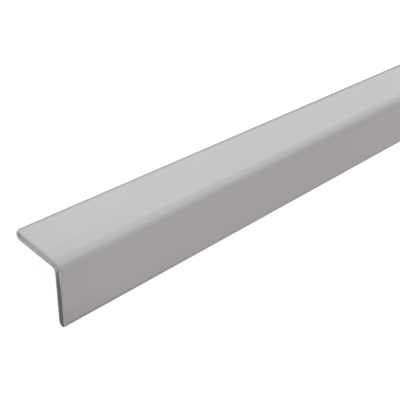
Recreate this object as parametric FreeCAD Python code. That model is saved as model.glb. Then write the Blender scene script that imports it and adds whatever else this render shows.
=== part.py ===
import FreeCAD, Part
import math
import os

# Corner guard moulding: a plain rigid vinyl angle that is glued over the outside corner of two walls.
# It is one extruded piece: two equal legs of even wall, joined by a rounded bend, with their free edges
# rounded across the whole wall and with square-sawn, lightly eased ends.
# Millimetres. X runs along the moulding. It stands unheld, bend up, on the free edges of both legs.
# The origin is at the middle of its length, midway between the legs, on the level that it stands on.

# Driving dimensions
length = 1219.2
leg_width = 19.05
wall = 2.2
inside_radius = 1.1
end_ease = 0.15

# The wall keeps its thickness round the bend, so both of the bend's arcs share one centre.
bend_radius = inside_radius + wall
bend_centre = bend_radius

# Each free edge is one half round from the outer face to the inner face.
edge_radius = wall / 2
edge_centre = leg_width - edge_radius

# Height at which the two outer faces would meet if the bend were sharp.
apex_height = leg_width / math.sqrt(2) + edge_radius


def section_point(along_right, along_left):
    """A point of the section, by its distances from the sharp apex along the right and the left leg."""
    across = (along_right - along_left) / math.sqrt(2)
    drop = (along_right + along_left) / math.sqrt(2)
    return FreeCAD.Vector(-length / 2, across, apex_height - drop)


def straight(start, end):
    return Part.LineSegment(section_point(*start), section_point(*end)).toShape()


def arc(start, middle, end):
    return Part.Arc(section_point(*start), section_point(*middle), section_point(*end)).toShape()


def bend_middle(radius):
    """Where an arc about the bend's centre crosses the plane midway between the legs."""
    inset = bend_centre - radius / math.sqrt(2)
    return (inset, inset)


def section_wire():
    """The closed outline: round the outside from the bend, then back along the inside."""
    return Part.Wire([
        straight((bend_centre, 0), (edge_centre, 0)),
        arc((edge_centre, 0), (leg_width, edge_radius), (edge_centre, wall)),
        straight((edge_centre, wall), (bend_centre, wall)),
        arc((bend_centre, wall), bend_middle(inside_radius), (wall, bend_centre)),
        straight((wall, bend_centre), (wall, edge_centre)),
        arc((wall, edge_centre), (edge_radius, leg_width), (0, edge_centre)),
        straight((0, edge_centre), (0, bend_centre)),
        arc((0, bend_centre), bend_middle(bend_radius), (bend_centre, 0)),
    ])


def corner_guard():
    """The section drawn out to its length, with the saw's sharp edges taken off both ends."""
    bar = Part.Face(section_wire()).extrude(FreeCAD.Vector(length, 0, 0))
    end_edges = [edge for edge in bar.Edges if edge.BoundBox.XLength < length / 2]
    return bar.makeFillet(end_ease, end_edges)


os.makedirs("parts", exist_ok=True)
corner_guard().exportStep("parts/corner_guard.step")
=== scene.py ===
import math
import bpy
from mathutils import Matrix, Vector


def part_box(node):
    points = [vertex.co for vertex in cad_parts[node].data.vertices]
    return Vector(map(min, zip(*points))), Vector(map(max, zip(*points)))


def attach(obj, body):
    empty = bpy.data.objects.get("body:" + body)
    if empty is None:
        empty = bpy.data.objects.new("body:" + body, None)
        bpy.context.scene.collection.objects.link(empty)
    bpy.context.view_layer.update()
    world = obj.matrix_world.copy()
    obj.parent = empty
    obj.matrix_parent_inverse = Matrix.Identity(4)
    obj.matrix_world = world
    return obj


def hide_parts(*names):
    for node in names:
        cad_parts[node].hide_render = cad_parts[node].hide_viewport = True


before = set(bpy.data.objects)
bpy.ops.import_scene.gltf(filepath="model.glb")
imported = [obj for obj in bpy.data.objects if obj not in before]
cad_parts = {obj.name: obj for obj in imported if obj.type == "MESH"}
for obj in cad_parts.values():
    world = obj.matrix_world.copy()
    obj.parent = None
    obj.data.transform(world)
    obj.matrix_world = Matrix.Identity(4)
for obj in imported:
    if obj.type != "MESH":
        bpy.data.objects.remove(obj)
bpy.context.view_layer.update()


# Corner guard moulding
# One length of grey rigid vinyl angle, extruded through a die and sawn to length, which is glued over the
# outside corner of two walls. It lies unheld, bend up, on the rounded free edges of its two legs.

wall = 0.0022
end_ease = 0.00015
rub_radius = 0.0015

# The rest of the section comes from the frame. The free edges are half rounds of the wall's thickness, and
# the bend is as round as the height between the sharp corner and the top of the moulding says.
guard_low, guard_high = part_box("corner_guard")
length = guard_high.x - guard_low.x
edge_radius = wall / 2
leg_width = ((guard_high.y - guard_low.y) / 2 - edge_radius) * math.sqrt(2) + wall
apex_height = guard_low.z + leg_width / math.sqrt(2) + edge_radius
bend_radius = (apex_height - guard_high.z) / (math.sqrt(2) - 1)

# How far outside the skin the rubbed corner's round runs out, so that cutting it leaves no slivers.
rub_runout = 0.00003

# How finely the mesh is divided, and how near two points count as one.
bend_steps = 24
edge_steps = 12
rub_steps = 8
ease_steps = 4
ring_spacing = 0.05
merge_distance = end_ease / 50
weld_distance = end_ease / 30

# How squarely a face looks along the moulding to be part of a cut, and the cut's place among the materials.
end_facing = 0.9
sawn_slot = 1


def plug(tree, item, socket):
    """Gives a socket a link where the item comes from a node, and a plain value otherwise."""
    if isinstance(item, Reading):
        tree.links.new(item.socket, socket)
    else:
        socket.default_value = item


class Reading:
    """What a node's output gives, so that maths on it is written as an expression."""

    def __init__(self, tree, socket):
        self.tree = tree
        self.socket = socket

    def maths(self, operation, *items):
        node = self.tree.nodes.new("ShaderNodeMath")
        node.operation = operation
        for item, socket in zip(items, node.inputs):
            plug(self.tree, item, socket)
        return Reading(self.tree, node.outputs[0])

    def __add__(self, other):
        return self.maths("ADD", self, other)

    def __radd__(self, other):
        return self.maths("ADD", other, self)

    def __sub__(self, other):
        return self.maths("SUBTRACT", self, other)

    def __rsub__(self, other):
        return self.maths("SUBTRACT", other, self)

    def __mul__(self, other):
        return self.maths("MULTIPLY", self, other)

    def __rmul__(self, other):
        return self.maths("MULTIPLY", other, self)

    def __truediv__(self, other):
        return self.maths("DIVIDE", self, other)

    def __rtruediv__(self, other):
        return self.maths("DIVIDE", other, self)

    def __abs__(self):
        return self.maths("ABSOLUTE", self)


class Bench:
    """A node tree in the making, for a shape or for a finish."""

    def __init__(self, tree):
        self.tree = tree

    def node(self, kind, settings=None, inputs=None):
        """Adds a node: its settings first, then the values or links of its sockets, by name or by place."""
        made = self.tree.nodes.new(kind)
        for name, value in (settings or {}).items():
            setattr(made, name, value)
        for name, item in (inputs or {}).items():
            plug(self.tree, item, made.inputs[name])
        return made

    def read(self, kind, settings=None, inputs=None, output=0):
        """The same, for a node of which one output is wanted."""
        return Reading(self.tree, self.node(kind, settings, inputs).outputs[output])

    def choose(self, data_type, options):
        """A field that gives each point of a line its own option, by its number."""
        switch = self.node("GeometryNodeIndexSwitch", {"data_type": data_type})
        while len(switch.index_switch_items) < len(options):
            switch.index_switch_items.new()
        plug(self.tree, self.read("GeometryNodeInputIndex"), switch.inputs["Index"])
        for number, option in enumerate(options):
            plug(self.tree, option, switch.inputs[str(number)])
        return Reading(self.tree, switch.outputs[0])


def shape_tree(name, sizes):
    """A Geometry Nodes tree with a named input for each size, and the readings of those inputs."""
    tree = bpy.data.node_groups.new(name, "GeometryNodeTree")
    tree.interface.new_socket("Geometry", in_out="OUTPUT", socket_type="NodeSocketGeometry")
    for size in sizes:
        tree.interface.new_socket(size, in_out="INPUT", socket_type="NodeSocketFloat")
    given = tree.nodes.new("NodeGroupInput")
    return Bench(tree), {size: Reading(tree, given.outputs[size]) for size in sizes}


def angle_tree(skin, sawn):
    """The section's sharp corners, laid out from the outer corner along both legs, rounded and swept."""
    bench, size = shape_tree("angle_stock", ["Length", "Leg width", "Wall", "Bend radius", "Apex height"])
    leg, thick = size["Leg width"], size["Wall"]

    def corner(along_one, along_other):
        return bench.read("ShaderNodeCombineXYZ", inputs={"X": along_one, "Y": along_other})

    corners = [corner(0.0, 0.0), corner(leg, 0.0), corner(leg, thick),
               corner(thick, thick), corner(thick, leg), corner(0.0, leg)]
    rounding = thick / 2.0
    radii = [size["Bend radius"], rounding, rounding, size["Bend radius"] - thick, rounding, rounding]
    steps = [bend_steps, edge_steps, edge_steps, bend_steps, edge_steps, edge_steps]

    loose = bench.read("GeometryNodeMeshLine", inputs={"Count": len(corners)})
    line = bench.read("GeometryNodeMeshToCurve", inputs={"Mesh": loose})
    outline = bench.read("GeometryNodeSetSplineCyclic", inputs={"Geometry": line, "Cyclic": True})
    sharp = bench.read("GeometryNodeSetPosition",
                       inputs={"Geometry": outline, "Position": bench.choose("VECTOR", corners)})
    rounded = bench.read("GeometryNodeFilletCurve", {"mode": "POLY"},
                         {"Curve": sharp, "Radius": bench.choose("FLOAT", radii),
                          "Count": bench.choose("INT", steps)})
    # The sweep turns the section's own Y downwards.
    bend_up = bench.read("ShaderNodeCombineXYZ", inputs={"Z": math.radians(45)})
    height = bench.read("ShaderNodeCombineXYZ", inputs={"Y": size["Apex height"] * -1.0})
    section = bench.read("GeometryNodeTransform",
                         inputs={"Geometry": rounded, "Translation": height, "Rotation": bend_up})

    near = bench.read("ShaderNodeCombineXYZ", inputs={"X": size["Length"] / -2.0})
    far = bench.read("ShaderNodeCombineXYZ", inputs={"X": size["Length"] / 2.0})
    run = bench.read("GeometryNodeCurvePrimitiveLine", inputs={"Start": near, "End": far})
    rings = bench.read("GeometryNodeResampleCurve", {"mode": "LENGTH"},
                       {"Curve": run, "Length": ring_spacing})
    level = bench.read("GeometryNodeSetCurveNormal", {"mode": "Z_UP"}, {"Curve": rings})
    swept = bench.read("GeometryNodeCurveToMesh",
                       inputs={"Curve": level, "Profile Curve": section, "Fill Caps": True})
    merged = bench.read("GeometryNodeMergeByDistance",
                        inputs={"Geometry": swept, "Distance": merge_distance})

    whole = bench.read("GeometryNodeRealizeInstances", inputs={"Geometry": merged})
    clad = bench.read("GeometryNodeSetMaterial", inputs={"Geometry": whole, "Material": skin})
    facing = bench.read("ShaderNodeSeparateXYZ",
                        inputs={"Vector": bench.read("GeometryNodeInputNormal")})
    at_end = bench.read("FunctionNodeCompare", {"data_type": "FLOAT", "operation": "GREATER_THAN"},
                        {"A": abs(facing), "B": end_facing})
    ended = bench.read("GeometryNodeSetMaterial",
                       inputs={"Geometry": clad, "Selection": at_end, "Material": sawn})
    bench.node("NodeGroupOutput", inputs={"Geometry": ended})
    return bench.tree


def new_object(name, data):
    """An object for a mesh, a lamp or a camera, put into the scene."""
    made = bpy.data.objects.new(name, data)
    bpy.context.scene.collection.objects.link(made)
    return made


def plain_mesh(source, name):
    """The shape that an object's modifiers give, as an object of its own with no modifiers."""
    ready = source.evaluated_get(bpy.context.evaluated_depsgraph_get())
    mesh = bpy.data.meshes.new_from_object(ready)
    mesh.name = name
    made = new_object(name, mesh)
    bpy.data.objects.remove(source)
    return made


def new_material(name):
    """A material's tree with its output and its shader, ready to be given its inputs."""
    material = bpy.data.materials.new(name)
    material.use_nodes = True
    material.node_tree.nodes.clear()
    bench = Bench(material.node_tree)
    shader = bench.node("ShaderNodeBsdfPrincipled")
    bench.node("ShaderNodeOutputMaterial", inputs={"Surface": Reading(bench.tree, shader.outputs["BSDF"])})
    return material, bench, shader


def stretched(bench, place, factors):
    """A place scaled by its own factor along each axis, which draws a pattern out along the small ones."""
    return bench.read("ShaderNodeVectorMath", {"operation": "MULTIPLY"}, {0: place, 1: factors})


def noise(bench, place, scale, detail, roughness=0.5):
    """Smooth unevenness between 0 and 1. The scale is in waves per metre."""
    return bench.read("ShaderNodeTexNoise",
                      inputs={"Vector": place, "Scale": scale, "Detail": detail, "Roughness": roughness})


def swing(pattern, amount):
    """A pattern as a change to either side of nothing, by half the amount at most."""
    return (pattern - 0.5) * amount


def between(bench, value, start, end, low=0.0, high=1.0):
    """Runs smoothly from low to high while the value goes from start to end."""
    return bench.read("ShaderNodeMapRange", {"interpolation_type": "SMOOTHSTEP"},
                      {"Value": value, "From Min": start, "From Max": end, "To Min": low, "To Max": high})


def blend_colours(bench, share, first, second):
    """The first colour where share is 0 and the second where it is 1."""
    mix = bench.node("ShaderNodeMix", {"data_type": "RGBA"})
    plug(bench.tree, share, mix.inputs[0])
    plug(bench.tree, first, mix.inputs[6])
    plug(bench.tree, second, mix.inputs[7])
    return Reading(bench.tree, mix.outputs[2])


def in_section(bench, place):
    """Where a point is: from the nearer end, across the moulding, along a leg, and into its wall."""
    parts = bench.node("ShaderNodeSeparateXYZ", inputs={"Vector": place})
    from_end = length / 2 - abs(Reading(bench.tree, parts.outputs["X"]))
    across = Reading(bench.tree, parts.outputs["Y"])
    drop = apex_height - Reading(bench.tree, parts.outputs["Z"])
    along = (drop + abs(across)) / math.sqrt(2)
    depth = (drop - abs(across)) / math.sqrt(2)
    return from_end, across, along, depth


# The colours of the skin and of the saw's cuts
vinyl_light = (0.430, 0.430, 0.432, 1.0)
vinyl_dark = (0.390, 0.390, 0.393, 1.0)
# The darkest skin colour is painted shade on the free edges and beside the bend, and darkens the skin near
# the ends.
edge_shade_colour = (0.250, 0.253, 0.265, 1.0)
sawn_light = (0.340, 0.340, 0.346, 1.0)
sawn_dark = (0.045, 0.046, 0.049, 1.0)

# The skin's gloss and its patterns: how far each is drawn out, its waves to the metre, and what it changes.
vinyl_roughness = 0.42
vinyl_ior = 1.52
die_stretch = (0.012, 1.0, 1.0)
die_waves = 1500.0
cloud_stretch = (0.35, 1.0, 1.0)
cloud_waves = 45.0
grain_waves = 4200.0
die_tone = 0.55
cloud_tone = 0.7
die_dullness = 0.10
cloud_dullness = 0.08
edge_dullness = 0.25
grain_share = 0.3
skin_relief = 0.00001

# Where the skin changes, and how much. A pair says where a change starts and where it is complete: from the
# nearer end or along a leg from the corner, and across the moulding from its middle where the name says so.
left_leg_across = (0.0, -0.002)
edge_shade_span = (leg_width - 0.0019, leg_width - 0.0007)
faded_edge_span = (0.010, 0.045)
faded_edge_share = 0.45
wide_edge_span = (0.020, 0.120)
wide_edge_extra = 0.0003
end_darkening_span = (0.014, 0.0)
end_darkening = 0.12
bend_shade_end_span = (0.045, 0.010)
bend_shade_bend_span = (0.0018, 0.0036)
bend_shade_leg_span = (0.0090, 0.0055)
bend_shade_share = 0.11
strip_span = (0.0105, 0.0175)
strip_darkening = 0.10
strip_darkening_at_end = 0.20
burr_end_span = (0.0008, 0.0001)
burr_leg_span = (0.004, 0.007)
left_burr_loss = 0.6


def extruded_skin():
    """Satin vinyl as the die leaves it: painted shade on its free edges and beside the bend, darker near
    the ends.
    """
    material, bench, shader = new_material("satin_grey_vinyl")
    place = bench.read("ShaderNodeTexCoord", output="Object")
    from_end, across, along = in_section(bench, place)[:3]
    die_lines = noise(bench, stretched(bench, place, die_stretch), die_waves, detail=3.0, roughness=0.6)
    cloud = noise(bench, stretched(bench, place, cloud_stretch), cloud_waves, detail=2.0)
    grain = noise(bench, place, grain_waves, detail=1.0)
    on_left_leg = between(bench, across, *left_leg_across)
    on_right_leg = 1.0 - on_left_leg

    # Away from the ends, the left leg's painted edge shade is fainter and the right leg's is a little
    # wider.
    faded = on_left_leg * between(bench, from_end, *faded_edge_span) * faded_edge_share
    widened = on_right_leg * between(bench, from_end, *wide_edge_span, 0.0, wide_edge_extra)
    # Painted shade on the rounded free edges.
    painted_edge_shade = between(bench, along + widened, *edge_shade_span) * (1.0 - faded)

    # Darker near the ends and towards the left leg's free edge; painted shade on the right leg beside the
    # bend.
    near_end = between(bench, from_end, *end_darkening_span)
    beside_bend = between(bench, along, *bend_shade_leg_span) * between(bench, along, *bend_shade_bend_span)
    painted_bend_shade = between(bench, from_end, *bend_shade_end_span) * beside_bend * on_right_leg
    strip = (strip_darkening + near_end * strip_darkening_at_end) * between(bench, along, *strip_span) * on_left_leg
    darkening = near_end * end_darkening + painted_bend_shade * bend_shade_share + strip

    # The saw leaves a light burr, fainter on the left leg and none round the bend.
    burr_strength = 1.0 - on_left_leg * left_burr_loss
    burr = between(bench, from_end, *burr_end_span) * between(bench, along, *burr_leg_span) * burr_strength

    tone = 0.5 + swing(die_lines, die_tone) + swing(cloud, cloud_tone)
    flat_colour = blend_colours(bench, tone, vinyl_dark, vinyl_light)
    darkened_colour = blend_colours(bench, darkening, flat_colour, edge_shade_colour)
    edge_shaded_colour = blend_colours(bench, painted_edge_shade, darkened_colour, edge_shade_colour)
    plug(bench.tree, blend_colours(bench, burr, edge_shaded_colour, sawn_light), shader.inputs["Base Color"])
    unevenness = swing(die_lines, die_dullness) + swing(cloud, cloud_dullness)
    roughness = vinyl_roughness + unevenness + painted_edge_shade * edge_dullness
    plug(bench.tree, roughness, shader.inputs["Roughness"])
    relief = die_lines * (1.0 - grain_share) + grain * grain_share
    bump = bench.read("ShaderNodeBump",
                      inputs={"Strength": 0.5, "Distance": skin_relief, "Height": relief})
    plug(bench.tree, bump, shader.inputs["Normal"])
    shader.inputs["IOR"].default_value = vinyl_ior
    return material


# The cut's gloss and patterns, as for the skin.
sawn_roughness = 0.62
stroke_stretch = (1.0, 1.0, 0.08)
stroke_waves = 5200.0
stroke_shade = 0.12
stroke_dullness = 0.2
chip_waves = 650.0
chip_shade = 4.5
sawn_relief = 0.00002

# Where the cut changes, and how much, as for the skin. Depths are into the wall from its outer face.
dark_start_across = (0.0002, -0.0014)
dark_start_share = 0.86
dark_rest_across = (-0.0014, -0.0038)
fringe_depth = (wall * 0.55, wall * 0.95)
fringe_loss = 0.25
off_tip_span = (leg_width - 0.0030, leg_width - 0.0058)
off_tip_shade = 0.12
chipped_depth = (wall * 0.45, wall * 0.65)
crumbled_depth = (wall * 0.65, wall * 0.90)
crumbled_shade = 0.16
tip_span = (leg_width - 0.0070, leg_width - 0.0030)
tip_depth = (wall * 0.75, wall * 0.45)
tip_shade = 0.30
tip_shadow_start_span = (leg_width - 0.0037, leg_width - 0.0027)
tip_shadow_end_span = (leg_width - 0.0014, leg_width - 0.0022)
tip_shadow_depth = (wall * 0.50, wall * 0.28)
tip_shadow_share = 0.30
rim_depth = (wall * 0.34, wall * 0.12)
rim_narrowing_span = (0.002, 0.008)
rim_narrowing = (-0.0001, 0.00028)
rubbed_span = (0.0002, 0.0006)
rubbed_fade_span = (0.0006, 0.0010)


def sawn_end():
    """The saw's cut: dull, finely stroked, chipped along the inner edge, painted shade at the tip, darker
    on the left leg.
    """
    material, bench, shader = new_material("sawn_grey_vinyl")
    place = bench.read("ShaderNodeTexCoord", output="Object")
    from_end, across, along, depth = in_section(bench, place)
    strokes = noise(bench, stretched(bench, place, stroke_stretch), stroke_waves, detail=2.0, roughness=0.6)
    chips = noise(bench, place, chip_waves, detail=2.0, roughness=0.7)

    # The left leg's cut is dark from the bend on, and a little lighter towards its inner edge.
    dark_leg = (between(bench, across, *dark_start_across, 0.0, dark_start_share)
                + between(bench, across, *dark_rest_across, 0.0, 1.0 - dark_start_share))
    light_leg = 1.0 - dark_leg
    fringe = between(bench, depth, *fringe_depth)

    # The right leg's cut is chipped and crumbled along its inner edge, all but the tip, which has painted
    # shade and a painted shadow spot near the outer face.
    chipped = between(bench, depth, *chipped_depth) * swing(chips, chip_shade)
    crumbled = between(bench, depth, *crumbled_depth) * crumbled_shade
    off_tip = between(bench, along, *off_tip_span) * (off_tip_shade + chipped + crumbled)
    tip = between(bench, along, *tip_span) * between(bench, depth, *tip_depth)
    tip_shadow_spot = (between(bench, along, *tip_shadow_start_span) * between(bench, along, *tip_shadow_end_span)
            * between(bench, depth, *tip_shadow_depth))
    marks = off_tip + tip * tip_shade + tip_shadow_spot * tip_shadow_share

    shade = dark_leg * (1.0 - fringe * fringe_loss) + light_leg * marks + swing(strokes, stroke_shade)
    shade = bench.read("ShaderNodeClamp", inputs={"Value": shade})
    cut_colour = blend_colours(bench, shade, sawn_light, sawn_dark)

    # The dark leg keeps the skin's colour at its outer rim, which narrows away from the bend.
    narrowed = depth + between(bench, along, *rim_narrowing_span, *rim_narrowing)
    outer_rim = between(bench, narrowed, *rim_depth) * dark_leg
    rimmed_colour = blend_colours(bench, outer_rim, cut_colour, vinyl_dark)

    # The rubbed corner is as light as the skin, and takes the free edge's painted shade where it runs out.
    rubbed = between(bench, from_end, *rubbed_span) * light_leg
    fade = between(bench, from_end, *rubbed_fade_span)
    rubbed_colour = blend_colours(bench, fade, vinyl_light, edge_shade_colour)
    end_colour = blend_colours(bench, rubbed, rimmed_colour, rubbed_colour)
    plug(bench.tree, end_colour, shader.inputs["Base Color"])
    plug(bench.tree, sawn_roughness + swing(strokes, stroke_dullness), shader.inputs["Roughness"])
    bump = bench.read("ShaderNodeBump",
                      inputs={"Strength": 0.6, "Distance": sawn_relief, "Height": strokes})
    plug(bench.tree, bump, shader.inputs["Normal"])
    shader.inputs["IOR"].default_value = vinyl_ior
    return material


def rubbed_corner(skin, sawn):
    """What is missing from the right leg's near corner, which is rubbed round: all outside that round."""
    spare = 2 * rub_radius
    layers = [(-spare, 0.0)]
    for step in range(edge_steps + 1):
        turn = math.pi * step / edge_steps
        layers.append((edge_radius * (1 - math.cos(turn)), edge_radius * math.sin(turn)))
    layers.append((wall + spare, 0.0))

    points = []
    for depth, bulge in layers:
        edge = leg_width - edge_radius + bulge + rub_runout
        plan = [(-spare, edge - rub_radius)]
        for step in range(rub_steps + 1):
            turn = math.pi / 2 * step / rub_steps
            plan.append((rub_radius * (1 - math.cos(turn)), edge - rub_radius * (1 - math.sin(turn))))
        plan += [(rub_radius, leg_width + spare), (-spare, leg_width + spare)]
        for from_end, along in plan:
            points.append((guard_low.x + from_end, (along - depth) / math.sqrt(2),
                           apex_height - (along + depth) / math.sqrt(2)))

    count = len(plan)
    faces = [tuple(range(count)), tuple(range(len(points) - 1, len(points) - count - 1, -1))]
    for layer in range(len(layers) - 1):
        for corner in range(count):
            here = layer * count + corner
            after = layer * count + (corner + 1) % count
            faces.append((after, here, here + count, after + count))

    mesh = bpy.data.meshes.new("rubbed_corner")
    mesh.from_pydata(points, [], faces)
    mesh.materials.append(skin)
    mesh.materials.append(sawn)
    for face in mesh.polygons:
        face.material_index = sawn_slot
    return new_object("rubbed_corner", mesh)


def swept_stock(skin, sawn):
    """The section swept along the whole length, as a plain mesh with sharp sawn edges."""
    blank = new_object("guard_blank", bpy.data.meshes.new("guard_blank"))
    stock = blank.modifiers.new("stock", "NODES")
    stock.node_group = angle_tree(skin, sawn)
    sizes = {"Length": length, "Leg width": leg_width, "Wall": wall,
             "Bend radius": bend_radius, "Apex height": apex_height}
    for item in stock.node_group.interface.items_tree:
        if item.in_out == "INPUT":
            stock[item.identifier] = sizes[item.name]
    return plain_mesh(blank, "guard_swept")


def make_guard():
    """The swept stock with its sawn edges eased, its rubbed corner off and its flats' normals square."""
    skin, sawn = extruded_skin(), sawn_end()
    swept = swept_stock(skin, sawn)
    ease = swept.modifiers.new("ease", "BEVEL")
    ease.width = end_ease
    ease.segments = ease_steps
    ease.limit_method = "ANGLE"
    ease.angle_limit = math.radians(60)
    ease.use_clamp_overlap = False
    ease.material = sawn_slot
    missing = rubbed_corner(skin, sawn)
    rub = swept.modifiers.new("rub", "BOOLEAN")
    rub.operation = "DIFFERENCE"
    rub.solver = "EXACT"
    rub.object = missing
    weld = swept.modifiers.new("weld", "WELD")
    weld.merge_threshold = weld_distance
    square = swept.modifiers.new("square", "WEIGHTED_NORMAL")
    square.mode = "FACE_AREA"
    square.weight = 100
    guard = plain_mesh(swept, "vinyl_corner_guard")
    bpy.data.objects.remove(missing)
    return guard


guard = make_guard()
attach(guard, "root")
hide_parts("corner_guard")


# Floor
# A plain table of opal white acrylic, lit from below as well, so that it photographs as white with hardly a
# shadow.

floor_half = 60.0
floor_colour = (0.12, 0.12, 0.12, 1.0)
floor_roughness = 0.9
floor_shine = 0.1
floor_glow = 0.93


def make_floor():
    """One large level square that glows by itself."""
    mesh = bpy.data.meshes.new("floor")
    corners = [(x, y, 0.0) for x, y in ((-floor_half, -floor_half), (floor_half, -floor_half),
                                        (floor_half, floor_half), (-floor_half, floor_half))]
    mesh.from_pydata(corners, [], [(0, 1, 2, 3)])
    material, bench, shader = new_material("opal_acrylic")
    shader.inputs["Base Color"].default_value = floor_colour
    shader.inputs["Emission Color"].default_value = (1.0, 1.0, 1.0, 1.0)
    shader.inputs["Emission Strength"].default_value = floor_glow
    shader.inputs["Roughness"].default_value = floor_roughness
    shader.inputs["Specular IOR Level"].default_value = floor_shine
    mesh.materials.append(material)
    return new_object("floor", mesh)


make_floor()


# Studio light
# Two softboxes on the right leg's side, one high and one low, a long strip lamp overhead that runs along
# the moulding, a weak rosy softbox on the left leg's side, and an even white room.

lamp_distance = 3.0
softbox_aim = -0.55
strip_aim = 1.15
room_strength = 0.523
white = (1.0, 1.0, 1.0)
rosy = (1.0, 0.43, 0.68)


def softbox(name, aim_x, azimuth, elevation, sides, power, colour):
    """A rectangular lamp that faces a point of the moulding's line, with its first side along that line."""
    turn, rise = math.radians(azimuth), math.radians(elevation)
    away = Vector((math.cos(turn) * math.cos(rise), math.sin(turn) * math.cos(rise), math.sin(rise)))
    lamp = bpy.data.lights.new(name, "AREA")
    lamp.shape = "RECTANGLE"
    lamp.size, lamp.size_y = sides
    lamp.energy = power
    lamp.color = colour
    holder = new_object(name, lamp)
    holder.location = Vector((aim_x, 0.0, 0.0)) + away * lamp_distance
    holder.rotation_euler = away.to_track_quat("Z", "Y").to_euler()


def white_room():
    """Even light from all round."""
    world = bpy.data.worlds.new("room")
    world.use_nodes = True
    background = world.node_tree.nodes["Background"]
    background.inputs["Color"].default_value = (*white, 1.0)
    background.inputs["Strength"].default_value = room_strength
    bpy.context.scene.world = world


softbox("high_softbox", softbox_aim, azimuth=90, elevation=50, sides=(1.0, 1.0), power=16.5, colour=white)
softbox("low_softbox", softbox_aim, azimuth=120, elevation=8, sides=(1.0, 0.8), power=42.2, colour=white)
softbox("strip_lamp", strip_aim, azimuth=90, elevation=72, sides=(5.0, 0.4), power=33.0, colour=white)
softbox("rosy_softbox", softbox_aim, azimuth=270, elevation=15, sides=(1.0, 1.0), power=9.7, colour=rosy)
white_room()
bpy.context.scene.view_settings.view_transform = "Standard"


# Camera
# It stands over the near end as the photograph's did. The photograph has the right leg level, and here the
# moulding has tipped over to rest on both free edges, so the camera is rolled to show it the same way.

aim_from_end = 0.05475
aim_across = 0.00005
camera_distance = 0.2025
camera_azimuth = math.radians(-86.75)
camera_elevation = math.radians(52.68)
camera_roll = math.radians(59.78)
camera_lens = 63.34
sensor_width = 36.0
nearest_shown = 0.005

aim = Vector((guard_low.x + aim_from_end, aim_across, guard_low.z))
back = Vector((math.sin(camera_azimuth) * math.cos(camera_elevation),
               -math.cos(camera_azimuth) * math.cos(camera_elevation),
               math.sin(camera_elevation)))
camera_data = bpy.data.cameras.new("camera")
camera_data.lens = camera_lens
camera_data.sensor_width = sensor_width
camera_data.clip_start = nearest_shown
camera = new_object("camera", camera_data)
turn = back.to_track_quat("Z", "Y").to_matrix().to_4x4() @ Matrix.Rotation(camera_roll, 4, "Z")
camera.matrix_world = Matrix.Translation(aim + back * camera_distance) @ turn
bpy.context.scene.camera = camera
